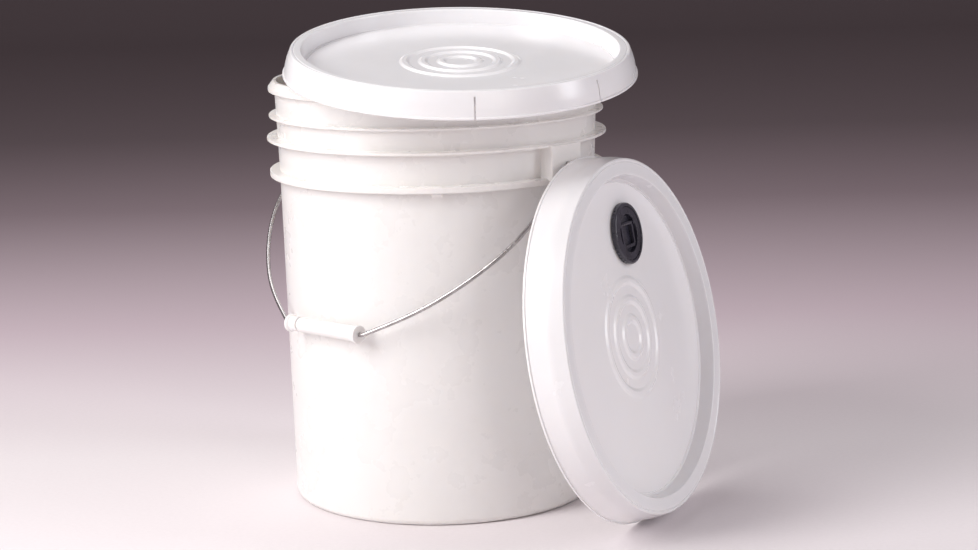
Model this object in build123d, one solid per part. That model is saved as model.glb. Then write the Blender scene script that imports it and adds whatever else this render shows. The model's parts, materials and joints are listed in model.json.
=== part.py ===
"""Plastic fermenting bucket with a wire bail, a lid set askew on its rim and a spout lid leaning on it.

Millimetres, +Z up. The origin is the centre of the bucket's base on the floor.
+X runs along the bail's pivot axis, towards the ear the spout lid leans on.
The bail hangs on the -Y side.
"""
from build123d import *
from collections import namedtuple
import math
import os

# ---------------------------------------------------------------- bucket
BASE_R = 142.2            # outer radius of the wall at the floor
LOWER_DRAFT = 0.0159      # radius gained per mm of height, up to the carrying rib
UPPER_DRAFT = 0.032       # the same, above the carrying rib
WALL = 2.2
BUCKET_H = 394.0
CORNER_R = 6.0            # outer rounding where the wall meets the base
BASE_T = 2.8
PAD_R = 26.0              # centre pad round the moulding gate, flush with the foot ring
FOOT_W = 11.0             # width of the foot ring the bucket stands on
BASE_RELIEF = 1.0         # hollow between the pad and the foot ring

# Outer radius of the wall at the rim; beads, ribs, ears and lids are measured from it
KNEE_Z = 309.5            # height of the carrying rib, where the draft changes
RIM_R = BASE_R + LOWER_DRAFT * KNEE_Z + UPPER_DRAFT * (BUCKET_H - KNEE_Z)
BEAD_R = RIM_R + 5.675    # widest radius of the rim bead
BEAD_LOW = BUCKET_H - 9.7
BEAD_TALL = 3.7
RIM_LAND = 3.3            # flat width at the top of the rim

RIB_UPPER = (361.3, RIM_R + 5.775, 2.0)         # mid height, outer radius, thickness
RIB_MIDDLE = (340.3, RIM_R + 8.275, 2.6)
RIB_LOWER = (KNEE_Z, RIM_R + 6.475, 2.4)
RIB_LIP = 6.0             # height of the turned-down lip on the lower rib
RIB_LIP_T = 2.0

EAR_HALF = 20.0           # half width of each ear
EAR_FACE = RIM_R + 10.675 # distance of the ear's outer face from the axis
EAR_PLATE = 3.2
EAR_WEB = 2.4
EAR_PAD = 1.4             # least thickening of the wall behind the ear's pocket

NUB_AZ = -46.5            # azimuth of the moulding nub under the lower rib, degrees
NUB_W = 10.0
NUB_H = 6.0
NUB_OUT = RIM_R + 4.175

# ---------------------------------------------------------------- bail
WIRE_R = 1.9
RUNNING = 0.08            # radial running clearance of a shaft in its hole
PIVOT_Z = 323.0
ARM_X = EAR_FACE + 2.5    # half distance between the bail's arms at the ears
BAIL_DROP = 210.0         # pivot axis to the middle of the grip
HOOK_IN = 7.5             # how far the wire's end stands behind the ear's face
HOOK_TAIL = 5.0           # length of the bent tail that keeps the wire in the ear
BEND_R = 2.4
SHOULDER = (0.957, 0.4286)            # points on the arm's curve: shares of ARM_X and of BAIL_DROP
SWEEP = (0.721, 0.7314)
GRIP_ANGLE = 33.0         # slope at which the arms run into the grip, degrees
GRIP_BEND_R = 8.0
GRIP_LEN = 90.0
GRIP_R = 7.0
GRIP_FLANGE_R = 8.3
GRIP_FLANGE_T = 3.0
GRIP_GROOVE_AT = 31.0     # distance of the groove from the grip's middle
REST_GAP = 0.4            # gap between the hanging grip and the wall

# ---------------------------------------------------------------- lids
Lid = namedtuple("Lid", "land_r mid_r mid_drop skirt_r lip_r depth wall plug_top_r plug_low_r snap_half")


def lid_sizes(land, slack, mid_drop, flare, depth, wall, plug_gap, snap_half):
    """Sizes of a lid that fits the rim.

    land is how far the flat land reaches past the wall, slack the room between bead and skirt,
    flare how much the skirt widens below mid_drop and plug_gap the room round the recess.
    """
    mid_r = BEAD_R + slack + wall
    plug_top_r = RIM_R - WALL - plug_gap - wall
    return Lid(
        land_r=RIM_R + land,                # outer radius of the flat land
        mid_r=mid_r,                        # outer radius where the skirt steepens
        mid_drop=mid_drop,                  # its depth below the land
        skirt_r=mid_r + flare,              # outer radius at the skirt's bottom
        lip_r=mid_r + flare + LIP_OUT,      # outer radius of the lip round the bottom
        depth=depth,
        wall=wall,
        plug_top_r=plug_top_r,              # inner face of the recess wall, top and bottom
        plug_low_r=plug_top_r - PLUG_TAPER,
        snap_half=snap_half)                # half height of the bead that snaps under the rim


LIP_OUT = 1.2
PLUG_TAPER = 1.6
PLAIN = lid_sizes(
    land=3.575, slack=0.2, mid_drop=10.0, flare=2.1, depth=23.5, wall=1.8, plug_gap=1.825, snap_half=1.6)
SPOUT = lid_sizes(
    land=9.675, slack=5.1, mid_drop=12.0, flare=2.2, depth=35.0, wall=2.0, plug_gap=0.825, snap_half=4.0)
SKIRT_ROUND = 45.0        # radius the skirt's two slopes run together with
LIP_T = 2.0
RECESS = 13.8             # depth of the recessed panel below the land
PANEL_T = 2.2
SNAP_R = BEAD_R - 0.5     # inner radius of the snap bead
SNAP_DROP = 17.5
RIDGES = (17.0, 34.0, 51.0)           # mid radii of the raised rings on the panel
RIDGE_H = 1.4
RIDGE_W = 9.0
RIDGE_TOP = 3.4           # flat width on top of each ring
RIDGE_ROUND = 1.8
GROOVE_IN = 2.9           # fine groove's distance inside the panel's edge
GROOVE_W = 1.6
GROOVE_D = 0.8
EDGE_GROOVE_IN = 2.8      # fine groove's distance inside the land's outer edge
EDGE_GROOVE_W = 1.6
EDGE_GROOVE_D = 0.7
SLIT_W = 1.6
SLIT_TOP = 4.5            # distance of the slits' upper ends below the land
SLIT_PAIR = 45.0          # angle between the two slits of a pair
GASKET_IN = 0.9           # gap between the gasket and the recess wall
GASKET_W = 4.6
GASKET_T = 2.8

# Lid left askew on the rim
ASKEW_TILT = 9.24         # lean of the lid's axis from the vertical, degrees
ASKEW_TOWARDS = -46.0     # azimuth of the lid's low side, degrees
ASKEW_ROLL = 1.12         # further lean, a quarter turn anticlockwise from the low side
ASKEW_SHIFT = 60.0        # how far the lid's centre lies towards its low side
ASKEW_SIDE = 23.3         # how far it lies to the side
ASKEW_GAP = 0.5           # gap between the lid's panel and the rim it lies on
TOP_SLIT_AZ = 3.7         # angle of the first slit from the lid's low side, degrees

# Lid leaning on the ear
LEAN = 10.5               # lean of the lid from the vertical, degrees
LEAN_AZ = 15.1            # azimuth the lid's face looks towards, degrees
LEAN_SIDE = 19.6          # distance of the skirt's centre from the pivot axis, along +Y
FLOOR_GAP = 0.3
LEAN_GAP = 0.8            # gap between the skirt's edge and the ear

# ---------------------------------------------------------------- pull-out closure in the leaning lid
CLOSURE_X = 20.0          # closure's centre on the lid, across and up from the lid's centre
CLOSURE_Y = 91.0
COLLAR_R = 28.0
COLLAR_H = 6.0            # height of the collar's face above the panel
KNURLS = 40               # shallow flutes round the collar's edge
KNURL_W = 2.0
KNURL_D = 0.6
COLLAR_BORE = 20.4
SEAT_R = 24.4             # counterbore the plug's flange drops into
SEAT_H = 2.6              # height of the counterbore's floor above the panel
NECK_R = 24.0
NECK_CLEAR = 0.2          # between the neck and the hole in the panel
CLIP_R = 26.2             # clip under the panel that holds the collar
CLIP_T = 1.6
SEAL_T = 0.8
PLUG_CLEAR = 0.4          # between the plug and the collar
PLUG_FLANGE_T = 1.7
PLUG_FACE = 5.4           # height of the plug's rim above the panel
PLUG_DROP = 8.0           # how far the plug reaches below the panel's top
CUP_R = 17.4              # recess in the plug's face
CUP_FLOOR = 1.0
CUP_T = 1.4
PLUG_WALL = 1.8
RING_W = 25.0             # pull ring, width and height
RING_H = 23.0
RING_BAR = 2.8
RING_T = 2.2
RING_UP = 8.6             # hinge line's distance above the closure's centre
RING_CLEAR = 0.8          # gap between the lying ring's bar and the plug's face
PINTLE_R = 1.1
LUG_W = 2.4
LUG_GAP = 0.3


# ---------------------------------------------------------------- helpers
def outline(points):
    """Closed face through (x, y, corner radius) points."""
    count = len(points)
    corners = []
    for i in range(count):
        here = Vector(points[i][0], points[i][1])
        back = (Vector(*points[i - 1][:2]) - here).normalized()
        ahead = (Vector(*points[(i + 1) % count][:2]) - here).normalized()
        radius = points[i][2] if len(points[i]) > 2 else 0.0
        if radius <= 0:
            corners.append((here, None, here))
            continue
        half = math.radians(back.get_angle(ahead)) / 2
        reach = radius / math.tan(half)
        bisector = (back + ahead).normalized()
        middle = here + bisector * (radius / math.sin(half) - radius)
        corners.append((here + back * reach, middle, here + ahead * reach))
    edges = []
    for i in range(count):
        start, middle, end = corners[i]
        if middle is not None:
            edges.append(ThreePointArc(start, middle, end))
        follow = corners[(i + 1) % count][0]
        if (follow - end).length > 1e-6:
            edges.append(Line(end, follow))
    return make_face(edges)


def turned(points):
    """Solid of revolution about Z from (radius, height, corner radius) points."""
    return revolve(Plane.XZ * outline(points), Axis.Z)


def tube(inner, outer, low, high):
    """Plain ring about Z."""
    return turned([(inner, low), (outer, low), (outer, high), (inner, high)])


def wall_r(z):
    """Outer radius of the bucket's wall at height z."""
    return BASE_R + LOWER_DRAFT * min(z, KNEE_Z) + UPPER_DRAFT * max(0.0, z - KNEE_Z)


def one(shape):
    """The single solid of a shape."""
    solids = shape.solids()
    if len(solids) != 1:
        raise ValueError("expected one solid, found %d" % len(solids))
    return solids[0]


# ---------------------------------------------------------------- bucket
def tub():
    mouth = wall_r(BUCKET_H) - WALL
    foot = BASE_R - FOOT_W
    shell = turned([
        (0, 0),
        (PAD_R, 0),
        (PAD_R + 1.5, BASE_RELIEF),
        (foot - 1.5, BASE_RELIEF),
        (foot, 0),
        (BASE_R, 0, CORNER_R),
        (wall_r(KNEE_Z), KNEE_Z),
        (wall_r(BEAD_LOW - 1.2), BEAD_LOW - 1.2),
        (BEAD_R, BEAD_LOW, 0.6),
        (BEAD_R, BEAD_LOW + BEAD_TALL, 1.0),
        (mouth + RIM_LAND, BUCKET_H, 1.0),
        (mouth, BUCKET_H, 0.8),
        (wall_r(KNEE_Z) - WALL, KNEE_Z),
        (wall_r(BASE_T) - WALL, BASE_T, CORNER_R - 1.5),
        (0, BASE_T),
    ])
    for height, radius, thick in (RIB_UPPER, RIB_MIDDLE, RIB_LOWER):
        root = wall_r(height) - WALL / 2
        low = height - thick / 2
        shell += turned([
            (root, low - 0.5),
            (radius, low, 0.5),
            (radius, low + thick, 0.5),
            (root, low + thick + 0.5),
        ])
    height, radius, thick = RIB_LOWER
    lip_top = height + thick / 2 - 0.6
    lip_low = height - RIB_LIP / 2 - thick / 2
    shell += turned([
        (radius - RIB_LIP_T, lip_low, 0.5),
        (radius, lip_low, 0.5),
        (radius, lip_top),
        (radius - RIB_LIP_T, lip_top),
    ])
    return shell


def ear(turn):
    """Box ear between the lower and middle ribs, and the pocket behind its plate."""
    low = RIB_LOWER[0]
    high = RIB_MIDDLE[0]
    root = wall_r(high) - WALL / 2 - 1.0
    block = Pos(0, 0, low) * Box(
        EAR_FACE - root, 2 * EAR_HALF, high - low,
        align=(Align.MIN, Align.CENTER, Align.MIN))
    block = Pos(root, 0, 0) * block
    block = fillet(block.edges().filter_by(Axis.Z).group_by(Axis.X)[-1], 2.0)
    back = wall_r(high) + EAR_PAD
    front = EAR_FACE - EAR_PLATE
    pocket_low = low - RIB_LIP - 2
    pocket_high = high - RIB_MIDDLE[2] / 2
    pocket = Pos(back, 0, pocket_low) * Box(
        front - back, 2 * (EAR_HALF - EAR_WEB), pocket_high - pocket_low,
        align=(Align.MIN, Align.CENTER, Align.MIN))
    hole = Pos(front - 2, 0, PIVOT_Z) * Rot(0, 90, 0) * Cylinder(
        WIRE_R + RUNNING, EAR_PLATE + 6, align=(Align.CENTER, Align.CENTER, Align.MIN))
    spin = Rot(0, 0, turn)
    return spin * block, spin * (pocket + hole)


def bucket():
    shell = tub()
    cuts = []
    for turn in (0, 180):
        block, cut = ear(turn)
        shell += block
        cuts.append(cut)
    for cut in cuts:
        shell -= cut
    low = RIB_LOWER[0] - RIB_LIP / 2 - RIB_LOWER[2] / 2
    root = wall_r(low) - WALL / 2
    nub = Pos(root, 0, low - NUB_H / 2) * Box(
        NUB_OUT - root, NUB_W, NUB_H + 3.0,
        align=(Align.MIN, Align.CENTER, Align.MIN))
    nub = fillet(nub.edges().filter_by(Axis.Z).group_by(Axis.X)[-1], 1.5)
    shell += Rot(0, 0, NUB_AZ) * nub
    return one(shell)


# ---------------------------------------------------------------- bail
def hang_angle():
    """Angle of the bail's plane below the horizontal when its grip lies on the wall."""
    angle = math.radians(43)
    for _ in range(20):
        grip_z = PIVOT_Z - BAIL_DROP * math.sin(angle)
        angle = math.acos((wall_r(grip_z) + GRIP_R + REST_GAP) / BAIL_DROP)
    return angle


def bail_plane():
    """Plane of the bail: its x along the pivot axis, its y from the pivots to the grip."""
    angle = hang_angle()
    return Plane(
        origin=(0, 0, PIVOT_Z),
        x_dir=(1, 0, 0),
        z_dir=(0, math.sin(angle), -math.cos(angle)))


def half_path(side):
    """One side of the wire's centre line, from the tail behind the ear to the grip's end."""
    inner = EAR_FACE - HOOK_IN
    b = BEND_R
    d = b * (1 - math.sqrt(0.5))
    tail = Line((side * inner, -HOOK_TAIL), (side * inner, -b))
    turn = ThreePointArc(
        (side * inner, -b), (side * (inner + d), -d), (side * (inner + b), 0))
    stub = Line((side * (inner + b), 0), (side * (ARM_X - b), 0))
    knee = ThreePointArc(
        (side * (ARM_X - b), 0), (side * (ARM_X - d), d), (side * ARM_X, b))
    slope = math.radians(GRIP_ANGLE)
    start = GRIP_LEN / 2 + 1
    entry = [
        (side * (start + GRIP_BEND_R * math.sin(a)), BAIL_DROP - GRIP_BEND_R * (1 - math.cos(a)))
        for a in (slope, slope / 2, 0)]
    arm = Spline(
        (side * ARM_X, b),
        (side * ARM_X * SHOULDER[0], BAIL_DROP * SHOULDER[1]),
        (side * ARM_X * SWEEP[0], BAIL_DROP * SWEEP[1]),
        entry[0],
        tangents=((0, 1), (-side * math.cos(slope), math.sin(slope))))
    return [tail, turn, stub, knee, arm, ThreePointArc(*entry)]


def bail_wire():
    middle = Line((GRIP_LEN / 2 + 1, BAIL_DROP), (-GRIP_LEN / 2 - 1, BAIL_DROP))
    path = Wire(half_path(1) + [middle] + half_path(-1))
    inner = EAR_FACE - HOOK_IN
    end = Plane(origin=(inner, -HOOK_TAIL, 0), x_dir=(1, 0, 0), z_dir=(0, 1, 0))
    rod = sweep(end * Circle(WIRE_R), path=path)
    return one(bail_plane() * rod)


def bail_grip():
    half = GRIP_LEN / 2
    bore = WIRE_R + RUNNING
    inset = half - GRIP_FLANGE_T
    body = turned([
        (bore, -half),
        (GRIP_FLANGE_R, -half, 0.8),
        (GRIP_FLANGE_R, -inset, 0.8),
        (GRIP_R, -inset + 1.2, 0.6),
        (GRIP_R, inset - 1.2, 0.6),
        (GRIP_FLANGE_R, inset, 0.8),
        (GRIP_FLANGE_R, half, 0.8),
        (bore, half),
    ])
    body -= Pos(0, 0, GRIP_GROOVE_AT) * tube(GRIP_R - 1.4, GRIP_R + 2, -1.1, 1.1)
    body = Pos(0, BAIL_DROP, 0) * Rot(0, -90, 0) * body
    return one(bail_plane() * body)


# ---------------------------------------------------------------- lids
def lid_profile(lid):
    """Half section of a lid with its land at z = 0."""
    top = -RECESS
    under = -RECESS - PANEL_T
    lip_top = lid.depth - LIP_T
    groove = lid.plug_low_r - GROOVE_IN
    edge = lid.land_r - EDGE_GROOVE_IN

    def inner_r(drop):
        share = (drop - lid.mid_drop) / (lip_top - lid.mid_drop)
        return lid.mid_r + share * (lid.skirt_r - lid.mid_r) - lid.wall

    points = [(0, top)]
    for radius in RIDGES:
        points += [
            (radius - RIDGE_W / 2, top, RIDGE_ROUND),
            (radius - RIDGE_TOP / 2, top + RIDGE_H, RIDGE_ROUND),
            (radius + RIDGE_TOP / 2, top + RIDGE_H, RIDGE_ROUND),
            (radius + RIDGE_W / 2, top, RIDGE_ROUND),
        ]
    points += [
        (groove - GROOVE_W / 2, top),
        (groove - GROOVE_W / 4, top - GROOVE_D),
        (groove + GROOVE_W / 4, top - GROOVE_D),
        (groove + GROOVE_W / 2, top),
        (lid.plug_low_r, top, 1.0),
        (lid.plug_top_r, 0, 0.9),
        (edge - EDGE_GROOVE_W / 2, 0, 0.3),
        (edge, -EDGE_GROOVE_D, 0.3),
        (edge + EDGE_GROOVE_W / 2, 0, 0.3),
        (lid.land_r, 0, 1.2),
        (lid.mid_r, -lid.mid_drop, SKIRT_ROUND),
        (lid.skirt_r, -lip_top, 0.5),
        (lid.lip_r, -lip_top, 0.5),
        (lid.lip_r, -lid.depth, 0.5),
        (lid.skirt_r - lid.wall, -lid.depth, 0.5),
        (inner_r(SNAP_DROP + lid.snap_half), -SNAP_DROP - lid.snap_half),
        (SNAP_R, -SNAP_DROP, 0.5),
        (inner_r(SNAP_DROP - lid.snap_half), -SNAP_DROP + lid.snap_half),
        (lid.mid_r - lid.wall, -lid.mid_drop),
        (lid.land_r - 1.4, -lid.wall, 1.0),
        (lid.plug_top_r + lid.wall, -lid.wall, 0.6),
        (lid.plug_low_r + lid.wall, under, 2.0),
        (0, under),
    ]
    return points


def plain_lid():
    """Lid with two opposite pairs of slits in its skirt."""
    body = turned(lid_profile(PLAIN))
    low = -PLAIN.depth - 1
    inside = PLAIN.land_r - 1.9
    slot = Pos(inside, 0, low) * Box(
        PLAIN.lip_r + 4 - inside, SLIT_W, -SLIT_TOP - low,
        align=(Align.MIN, Align.CENTER, Align.MIN))
    for turn in (0, SLIT_PAIR, 180, 180 + SLIT_PAIR):
        body -= Rot(0, 0, TOP_SLIT_AZ + turn) * slot
    return body


def lid_gasket(lid):
    high = -lid.wall - 0.05
    inner = lid.plug_top_r + lid.wall + GASKET_IN
    return turned([
        (inner, high - GASKET_T, 0.9),
        (inner + GASKET_W, high - GASKET_T, 0.9),
        (inner + GASKET_W, high),
        (inner, high),
    ])


def askew_plane():
    """Plane of the askew lid's land: x towards its low side."""
    towards = math.radians(ASKEW_TOWARDS)
    low = Vector(math.cos(towards), math.sin(towards), 0)
    side = Vector(-math.sin(towards), math.cos(towards), 0)
    slope = math.tan(math.radians(ASKEW_TILT))
    roll = math.tan(math.radians(ASKEW_ROLL))
    normal = Vector(0, 0, 1) + low * slope + side * roll
    unit = normal.normalized()
    # The panel's underside lies on the rim at the low side
    rim = wall_r(BUCKET_H) - WALL + RIM_LAND
    depth = (RECESS + PANEL_T + ASKEW_GAP) * normal.length
    height = BUCKET_H + depth + (rim - ASKEW_SHIFT) * slope - ASKEW_SIDE * roll
    centre = low * ASKEW_SHIFT + side * ASKEW_SIDE + Vector(0, 0, height)
    across = low - unit * low.dot(unit)
    return Plane(origin=centre, x_dir=across, z_dir=unit)


def leaning_plane():
    """Plane of the leaning lid's land: y up the lid."""
    lean = math.radians(LEAN)
    az = math.radians(LEAN_AZ)
    unit = Vector(
        math.cos(lean) * math.cos(az), math.cos(lean) * math.sin(az), math.sin(lean))
    foot_z = SPOUT.lip_r * math.cos(lean) + FLOOR_GAP
    top_z = foot_z + SPOUT.lip_r * math.cos(lean)
    # The skirt's plane passes the ear's outer corner at the height of the lid's top
    reach = LEAN_GAP + unit.Y * (EAR_HALF - LEAN_SIDE) + unit.Z * (top_z - foot_z)
    foot = Vector(EAR_FACE + reach / unit.X, LEAN_SIDE, foot_z)
    upward = (Vector(0, 0, 1) - unit * unit.Z).normalized()
    return Plane(origin=foot + unit * SPOUT.depth, x_dir=upward.cross(unit), z_dir=unit)


def spout_lid():
    body = turned(lid_profile(SPOUT))
    hole = Pos(CLOSURE_X, CLOSURE_Y, -RECESS - PANEL_T - 1) * Cylinder(
        NECK_R + NECK_CLEAR, PANEL_T + 3, align=(Align.CENTER, Align.CENTER, Align.MIN))
    return one(leaning_plane() * (body - hole))


# ---------------------------------------------------------------- closure
def closure_plane():
    """Plane of the panel's top at the closure's centre."""
    land = leaning_plane()
    return land * Pos(CLOSURE_X, CLOSURE_Y, -RECESS)


def closure_collar():
    under = -PANEL_T - 0.1
    body = turned([
        (COLLAR_BORE, under - CLIP_T - 2.4, 0.3),
        (NECK_R, under - CLIP_T - 2.4, 0.5),
        (CLIP_R, under - CLIP_T, 0.3),
        (CLIP_R, under, 0.3),
        (NECK_R, under),
        (NECK_R, SEAL_T + 0.1),
        (COLLAR_R, SEAL_T + 0.1, 0.4),
        (COLLAR_R, COLLAR_H, 2.0),
        (SEAT_R, COLLAR_H, 0.4),
        (SEAT_R, SEAT_H),
        (COLLAR_BORE, SEAT_H, 0.3),
    ])
    low = SEAL_T + 1.1
    flute = Pos(COLLAR_R - KNURL_D, 0, low) * Box(
        2 * KNURL_D, KNURL_W, COLLAR_H - 2.4 - low,
        align=(Align.MIN, Align.CENTER, Align.MIN))
    for i in range(KNURLS):
        body -= Rot(0, 0, i * 360 / KNURLS) * flute
    return body


def closure_gasket():
    return tube(NECK_R + NECK_CLEAR, COLLAR_R - 0.8, 0.05, SEAL_T + 0.05)


def closure_plug():
    flange_low = PLUG_FACE - PLUG_FLANGE_T
    outer = COLLAR_BORE - PLUG_CLEAR
    cup_low = CUP_FLOOR - CUP_T
    body = turned([
        (0, cup_low),
        (outer - PLUG_WALL, cup_low, 0.6),
        (outer - PLUG_WALL, -PLUG_DROP, 0.3),
        (outer, -PLUG_DROP, 0.5),
        (outer, flange_low),
        (SEAT_R - PLUG_CLEAR, flange_low, 0.3),
        (SEAT_R - PLUG_CLEAR, PLUG_FACE, 0.5),
        (CUP_R, PLUG_FACE, 0.4),
        (CUP_R - 0.6, CUP_FLOOR, 0.5),
        (0, CUP_FLOOR),
    ])
    inside = RING_W / 2 + LUG_GAP
    for side in (1, -1):
        lug = Pos(side * (inside + LUG_W / 2), RING_UP, CUP_FLOOR - 0.2) * Box(
            LUG_W, 4.2, hinge_height() + 1.9 - CUP_FLOOR + 0.2,
            align=(Align.CENTER, Align.CENTER, Align.MIN))
        body += lug
    drill = Pos(0, RING_UP, hinge_height()) * Rot(0, 90, 0) * Cylinder(
        PINTLE_R + RUNNING, 2 * (inside + LUG_W - 0.5))
    return body - drill


def plug_seal():
    high = PLUG_FACE - PLUG_FLANGE_T - 0.02
    return turned([
        (COLLAR_BORE - PLUG_CLEAR + 0.05, high - SEAL_T, 0.2),
        (SEAT_R - PLUG_CLEAR - 0.3, high - SEAL_T, 0.2),
        (SEAT_R - PLUG_CLEAR - 0.3, high),
        (COLLAR_BORE - PLUG_CLEAR + 0.05, high),
    ])


def hinge_height():
    """Height of the pull ring's hinge line above the panel."""
    return CUP_FLOOR + RING_CLEAR + RING_BAR / 2


def pull_ring():
    top = RING_UP + RING_BAR / 2
    frame = Rectangle(RING_W, RING_H)
    frame = fillet(frame.vertices(), 4.5)
    hollow = Rectangle(RING_W - 2 * RING_BAR, RING_H - 2 * RING_BAR)
    hollow = fillet(hollow.vertices(), 2.4)
    flat = extrude(frame - hollow, RING_T / 2, both=True)
    body = Pos(0, top - RING_H / 2, 0) * flat
    bar = Pos(0, RING_UP, 0) * Rot(0, 90, 0) * Cylinder(RING_BAR / 2, RING_W - 2.4)
    reach = RING_W / 2 + LUG_GAP + LUG_W - 0.9
    pintle = Pos(0, RING_UP, 0) * Rot(0, 90, 0) * Cylinder(PINTLE_R, 2 * reach)
    body = body + bar + pintle
    return Pos(0, 0, hinge_height()) * body


# ---------------------------------------------------------------- assembly
def build():
    askew = askew_plane()
    leaning = leaning_plane()
    closure = closure_plane()
    return {
        "bucket_shell": bucket(),
        "bail_wire": bail_wire(),
        "bail_grip": bail_grip(),
        "top_lid": one(askew * plain_lid()),
        "top_lid_gasket": one(askew * lid_gasket(PLAIN)),
        "spout_lid": spout_lid(),
        "spout_lid_gasket": one(leaning * lid_gasket(SPOUT)),
        "closure_collar": one(closure * closure_collar()),
        "closure_gasket": one(closure * closure_gasket()),
        "closure_plug": one(closure * closure_plug()),
        "plug_seal": one(closure * plug_seal()),
        "pull_ring": one(closure * pull_ring()),
    }


os.makedirs("parts", exist_ok=True)
for name, solid in build().items():
    solid.label = name
    export_step(solid, "parts/%s.step" % name)
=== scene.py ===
"""Plastic fermenting bucket: materials, backdrop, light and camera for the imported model."""

import bpy
import json
import math
from mathutils import Matrix, Vector

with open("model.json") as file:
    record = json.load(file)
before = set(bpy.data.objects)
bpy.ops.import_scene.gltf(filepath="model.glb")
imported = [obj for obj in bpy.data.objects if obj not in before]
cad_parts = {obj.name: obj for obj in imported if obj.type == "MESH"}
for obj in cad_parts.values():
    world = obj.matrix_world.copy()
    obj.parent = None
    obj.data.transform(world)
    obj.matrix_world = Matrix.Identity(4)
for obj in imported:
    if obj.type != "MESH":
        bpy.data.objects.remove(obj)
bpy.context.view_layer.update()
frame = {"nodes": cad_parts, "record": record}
NODES = frame["nodes"]
RECORD = frame["record"]


# ---------------------------------------------------------------- camera
CAMERA_AZIMUTH = 44.0        # degrees from the bail's side towards the leaning lid's side
CAMERA_DISTANCE = 2.18446    # from the bucket's axis, level
CAMERA_HEIGHT = 0.6128
CAMERA_YAW = 1.2005          # degrees the line of sight passes to the right of the axis
CAMERA_PITCH = 10.6247       # degrees below the level
CAMERA_ROLL = -1.3466
CAMERA_LENS = 86.5           # mm
SENSOR_WIDTH = 36.0          # mm
VIEW_END = 50.0              # how far the camera sees, past the backdrop


def view_directions():
    """Level unit vectors from the bucket towards the camera, and to the picture's right."""
    azimuth = math.radians(CAMERA_AZIMUTH)
    away = Vector((math.sin(azimuth), -math.cos(azimuth), 0))
    side = Vector((math.cos(azimuth), math.sin(azimuth), 0))
    return away, side


def make_camera():
    away, side = view_directions()
    yaw, pitch, roll = (math.radians(a) for a in (CAMERA_YAW, CAMERA_PITCH, CAMERA_ROLL))
    level = side * math.sin(yaw) - away * math.cos(yaw)
    sight = level * math.cos(pitch) - Vector((0, 0, math.sin(pitch)))
    right = side * math.cos(yaw) + away * math.sin(yaw)
    up = right.cross(sight)
    across = right * math.cos(roll) + up * math.sin(roll)
    upright = up * math.cos(roll) - right * math.sin(roll)
    camera = bpy.data.objects.new("camera", bpy.data.cameras.new("camera"))
    bpy.context.scene.collection.objects.link(camera)
    camera.data.sensor_width = SENSOR_WIDTH
    camera.data.lens = CAMERA_LENS
    camera.data.clip_end = VIEW_END
    stand = away * CAMERA_DISTANCE + Vector((0, 0, CAMERA_HEIGHT))
    turn = Matrix((across, upright, -sight)).transposed().to_4x4()
    camera.matrix_world = Matrix.Translation(stand) @ turn
    bpy.context.scene.camera = camera


# ---------------------------------------------------------------- shader helpers
class Shader:
    """A material's node tree, with short calls for the nodes it is made of."""

    def __init__(self, name):
        self.material = bpy.data.materials.new(name)
        self.material.use_nodes = True
        self.tree = self.material.node_tree
        self.surface = self.tree.nodes["Principled BSDF"]
        self.place = self.node("ShaderNodeTexCoord").outputs["Object"]

    def node(self, kind, **settings):
        made = self.tree.nodes.new(kind)
        for key, value in settings.items():
            setattr(made, key, value)
        return made

    def link(self, source, target):
        self.tree.links.new(source, target)

    def plug(self, value, socket):
        if isinstance(value, bpy.types.NodeSocket):
            self.link(value, socket)
        else:
            socket.default_value = value

    def plug_colour(self, value, socket):
        self.plug(value if isinstance(value, bpy.types.NodeSocket) else (*value, 1), socket)

    def noise(self, scale, detail=3.0, roughness=0.5, stretch=(1, 1, 1)):
        mapping = self.node("ShaderNodeMapping")
        mapping.inputs["Scale"].default_value = stretch
        self.link(self.place, mapping.inputs["Vector"])
        made = self.node("ShaderNodeTexNoise")
        made.inputs["Scale"].default_value = scale
        made.inputs["Detail"].default_value = detail
        made.inputs["Roughness"].default_value = roughness
        self.link(mapping.outputs["Vector"], made.inputs["Vector"])
        return made.outputs["Fac"]

    def ramp(self, source, *stops):
        """Remaps a value through (position, value) stops, each value a grey or a colour."""
        made = self.node("ShaderNodeValToRGB")
        elements = made.color_ramp.elements
        while len(elements) < len(stops):
            elements.new(0.5)
        for element, (position, value) in zip(elements, stops):
            colour = value if isinstance(value, tuple) else (value, value, value)
            element.position = position
            element.color = (*colour, 1)
        self.link(source, made.inputs["Fac"])
        return made.outputs["Color"]

    def math(self, operation, *values):
        made = self.node("ShaderNodeMath", operation=operation)
        for value, socket in zip(values, made.inputs):
            self.plug(value, socket)
        return made.outputs["Value"]

    def mix(self, factor, first, second, blend="MIX"):
        made = self.node("ShaderNodeMix", data_type="RGBA", blend_type=blend)
        self.plug(factor, made.inputs["Factor"])
        self.plug_colour(first, made.inputs["A"])
        self.plug_colour(second, made.inputs["B"])
        return made.outputs["Result"]

    def bump(self, height, distance, strength=1.0, below=None):
        made = self.node("ShaderNodeBump")
        made.inputs["Distance"].default_value = distance
        made.inputs["Strength"].default_value = strength
        self.link(height, made.inputs["Height"])
        if below is not None:
            self.link(below, made.inputs["Normal"])
        return made.outputs["Normal"]

    def set(self, **values):
        names = {
            "color": "Base Color", "metallic": "Metallic", "roughness": "Roughness",
            "ior": "IOR", "normal": "Normal", "scatter": "Subsurface Weight",
            "radius": "Subsurface Radius", "scatter_scale": "Subsurface Scale",
            "coat": "Coat Weight", "coat_roughness": "Coat Roughness",
            "specular": "Specular IOR Level",
        }
        for key, value in values.items():
            self.plug(value, self.surface.inputs[names[key]])


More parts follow.
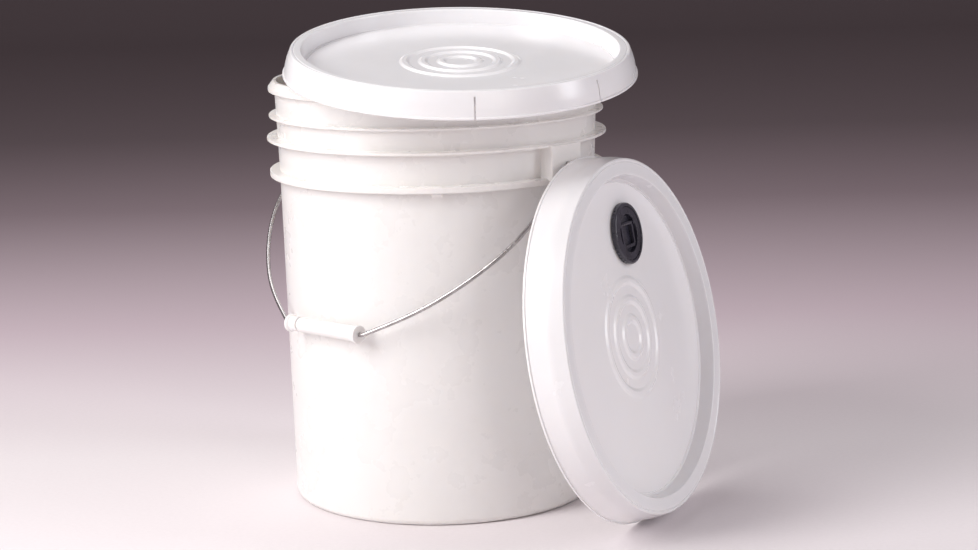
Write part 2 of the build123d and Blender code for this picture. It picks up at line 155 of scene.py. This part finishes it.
SCUFFS = 0.12                # strength of the fine scuffs
RUB_SCALE = 6.0              # brings a radius in metres into a ramp's range
RIB_RUB = (0.927, 0.938)     # scaled radii, 154.5 and 156.3 mm, between which rubbing sets in
FOOT_SCALE = 10.0            # the same for a height in metres
FOOT_RUB = (0.02, 0.14)      # scaled heights, 2 and 14 mm, between which rubbing fades


def moulded_plastic(name, light, shade, gloss, scatter, worn=None):
    """Natural polyethylene: waxy, a little translucent, with flow marks, haze and fine scuffs.

    worn, if given, takes the shader and returns where the surface is rubbed dull.
    """
    s = Shader(name)
    flow = s.ramp(s.noise(7.0, 3.0, 0.5, (1, 1, 0.35)), (0.30, 0.0), (0.70, 1.0))
    haze = s.ramp(s.noise(26.0, 4.0, 0.55), (0.28, 0.0), (0.74, 1.0))
    scratches = s.ramp(s.noise(620.0, 2.0, 0.6, (1, 1, 0.03)), (0.58, 0.0), (0.80, 1.0))
    marks = s.math("MULTIPLY", s.math("MULTIPLY", scratches, haze), SCUFFS)
    if worn is not None:
        marks = s.math("MAXIMUM", marks, worn(s))
    colour = s.mix(flow, shade, light)
    colour = s.mix(s.math("MULTIPLY", marks, 0.30), colour, tuple(0.88 * c for c in shade))
    dull = s.ramp(haze, (0.0, gloss - 0.03), (1.0, gloss + 0.04))
    dull = s.math("ADD", dull, s.math("MULTIPLY", marks, 0.08))
    skin = s.bump(s.noise(1600.0, 2.0, 0.6), 0.00003, 0.1)
    waves = s.bump(s.noise(14.0, 2.0, 0.4, (1, 1, 0.5)), 0.0008, 0.22, skin)
    s.set(color=colour, roughness=dull, normal=waves)
    s.set(ior=1.52, scatter=scatter, radius=(1.0, 0.86, 0.74), scatter_scale=0.008)
    s.set(coat=0.25, coat_roughness=0.18)
    return s.material


def bucket_wear(s):
    """Rubbing along the ribs' outer edges and round the foot."""
    axes = s.node("ShaderNodeSeparateXYZ")
    s.link(s.place, axes.inputs["Vector"])
    across = s.math("MULTIPLY", axes.outputs["X"], axes.outputs["X"])
    radius = s.math("SQRT", s.math("MULTIPLY_ADD", axes.outputs["Y"], axes.outputs["Y"], across))
    ribs = s.ramp(s.math("MULTIPLY", radius, RUB_SCALE), (RIB_RUB[0], 0.0), (RIB_RUB[1], 1.0))
    height = s.math("MULTIPLY", axes.outputs["Z"], FOOT_SCALE)
    foot = s.ramp(height, (FOOT_RUB[0], 1.0), (FOOT_RUB[1], 0.0))
    patches = s.ramp(s.noise(90.0, 4.0, 0.65), (0.44, 0.0), (0.62, 1.0))
    return s.math("MULTIPLY", s.math("MAXIMUM", ribs, foot), patches)


def black_plastic():
    s = Shader("closure_plastic")
    grain = s.noise(900.0, 3.0, 0.6)
    haze = s.ramp(s.noise(60.0, 4.0, 0.55), (0.35, 0.0), (0.75, 1.0))
    colour = s.mix(haze, (0.020, 0.019, 0.030), (0.044, 0.042, 0.062))
    dull = s.ramp(haze, (0.0, 0.24), (1.0, 0.38))
    s.set(color=colour, roughness=dull, normal=s.bump(grain, 0.00004, 0.4), ior=1.5)
    s.set(coat=0.3, coat_roughness=0.2)
    return s.material


def plated_wire():
    s = Shader("steel_wire")
    cloud = s.ramp(s.noise(150.0, 4.0, 0.6), (0.3, 0.0), (0.7, 1.0))
    spots = s.ramp(s.noise(800.0, 2.0, 0.5), (0.63, 0.0), (0.72, 1.0))
    colour = s.mix(cloud, (0.36, 0.34, 0.34), (0.56, 0.54, 0.54))
    colour = s.mix(s.math("MULTIPLY", spots, 0.45), colour, (0.22, 0.19, 0.18))
    dull = s.ramp(cloud, (0.0, 0.20), (1.0, 0.32))
    s.set(color=colour, metallic=1.0, roughness=dull)
    s.set(normal=s.bump(s.noise(1400.0, 2.0, 0.5), 0.00002, 0.4))
    return s.material


def gasket_rubber():
    s = Shader("gasket_rubber")
    grain = s.noise(1300.0, 3.0, 0.7)
    colour = s.mix(grain, (0.42, 0.42, 0.40), (0.56, 0.56, 0.53))
    dull = s.ramp(grain, (0.3, 0.6), (0.7, 0.85))
    s.set(color=colour, roughness=dull, normal=s.bump(grain, 0.0002, 0.7))
    return s.material


def paint():
    """Gives every node of the model its material, by its slot in the record."""
    materials = {
        "bucket_plastic": moulded_plastic(
            "bucket_plastic", (0.900, 0.878, 0.858), (0.868, 0.836, 0.806), 0.28, 0.35,
            bucket_wear),
        "lid_plastic": moulded_plastic(
            "lid_plastic", (0.892, 0.886, 0.898), (0.866, 0.852, 0.868), 0.24, 0.25),
        "grip_plastic": moulded_plastic(
            "grip_plastic", (0.870, 0.858, 0.855), (0.820, 0.805, 0.798), 0.30, 0.25),
        "steel_wire": plated_wire(),
        "closure_plastic": black_plastic(),
        "gasket_rubber": gasket_rubber(),
    }
    for part in RECORD["subparts"]:
        mesh = NODES[part["node"]].data
        mesh.materials.clear()
        mesh.materials.append(materials[part["material_slot"]])


# ---------------------------------------------------------------- studio
FLOOR_HALF = 8.0             # half width of the paper, and its reach in front of the bucket
SWEEP_BACK = 5.0             # distance from the bucket's axis to where the floor turns up
SWEEP_R = 2.0                # radius of the turn from floor to wall
SWEEP_STEPS = 32
WALL_TOP = 5.0
PAPER_SHADE_FADE = 6.5             # distance over which the paper's painted shade darkens it from floor to wall
PAPER_PAINTED_SHADE_TONES = (              # share of that distance, and the paper's colour there: painted shade for the light's falloff
    (0.02, (0.86, 0.81, 0.83)), (0.12, (0.64, 0.53, 0.585)), (0.27, (0.32, 0.25, 0.28)),
    (0.42, (0.20, 0.158, 0.173)), (1.0, (0.17, 0.14, 0.15)))


def backdrop_profile():
    """The paper's section, as (distance behind the bucket, height) points."""
    profile = [(-FLOOR_HALF, 0.0)]
    for i in range(SWEEP_STEPS + 1):
        angle = math.pi / 2 * i / SWEEP_STEPS
        profile.append((SWEEP_BACK + SWEEP_R * math.sin(angle), SWEEP_R * (1 - math.cos(angle))))
    profile.append((SWEEP_BACK + SWEEP_R, WALL_TOP))
    return profile


def backdrop_paper(away):
    """Matt paper, with painted shade that makes it dark behind the bucket and light in front of
    it.
    """
    s = Shader("backdrop_paper")
    fibre = s.noise(240.0, 3.0, 0.6)
    behind = s.node("ShaderNodeVectorMath", operation="DOT_PRODUCT")
    s.link(s.place, behind.inputs[0])
    behind.inputs[1].default_value = -away / PAPER_SHADE_FADE
    # painted shade: the paper's colour darkens with distance behind the bucket, in place of the
    # light falling off
    painted_shade_tone = s.ramp(behind.outputs["Value"], *PAPER_PAINTED_SHADE_TONES)
    colour = s.mix(s.math("MULTIPLY", fibre, 0.12), painted_shade_tone, (0.35, 0.32, 0.33))
    s.set(color=colour, roughness=0.75, normal=s.bump(fibre, 0.0002, 0.3), specular=0.25)
    return s.material


def backdrop():
    """Seamless paper: a floor that curves up into a wall behind the bucket."""
    away, side = view_directions()
    profile = backdrop_profile()
    points = []
    for reach, height in profile:
        for wide in (-FLOOR_HALF, FLOOR_HALF):
            points.append(side * wide - away * reach + Vector((0, 0, height)))
    faces = [(2 * i, 2 * i + 1, 2 * i + 3, 2 * i + 2) for i in range(len(profile) - 1)]
    mesh = bpy.data.meshes.new("backdrop")
    mesh.from_pydata(points, [], faces)
    for face in mesh.polygons:
        face.use_smooth = True
    mesh.materials.append(backdrop_paper(away))
    paper = bpy.data.objects.new("backdrop", mesh)
    bpy.context.scene.collection.objects.link(paper)


def softbox(name, azimuth, elevation, distance, size, power,
            colour=(1, 1, 1), aim=(0, 0, 0.2)):
    """Area light at an azimuth from the camera's, an elevation and a distance from its aim."""
    turn = math.radians(CAMERA_AZIMUTH + azimuth)
    rise = math.radians(elevation)
    aim = Vector(aim)
    level = math.cos(rise)
    back = Vector((math.sin(turn) * level, -math.cos(turn) * level, math.sin(rise)))
    light = bpy.data.lights.new(name, "AREA")
    light.shape = "RECTANGLE"
    light.size, light.size_y = size
    light.energy = power
    light.color = colour
    lamp = bpy.data.objects.new(name, light)
    bpy.context.scene.collection.objects.link(lamp)
    lamp.location = aim + back * distance
    lamp.rotation_mode = "QUATERNION"
    lamp.rotation_quaternion = (-back).to_track_quat("-Z", "Y")


def light():
    """A dim pink surround, a strong key from the left and three weaker softboxes."""
    world = bpy.data.worlds.new("studio")
    world.use_nodes = True
    sky = world.node_tree.nodes["Background"]
    sky.inputs["Color"].default_value = (0.92, 0.81, 0.84, 1)
    sky.inputs["Strength"].default_value = 0.30
    bpy.context.scene.world = world
    softbox("key", -58, 32, 2.3, (0.9, 1.7), 50, (1.0, 0.985, 0.97))
    softbox("front", 22, 16, 2.8, (0.9, 1.5), 7, (1.0, 0.93, 0.88))
    softbox("top", -150, 62, 2.3, (1.5, 1.0), 15)
    softbox("side", 72, 24, 2.4, (0.6, 1.7), 19, (0.95, 0.96, 1.0), (0.2, 0.03, 0.17))


# ---------------------------------------------------------------- the scene
make_camera()
paint()
backdrop()
light()

bpy.context.scene.view_settings.view_transform = "Standard"
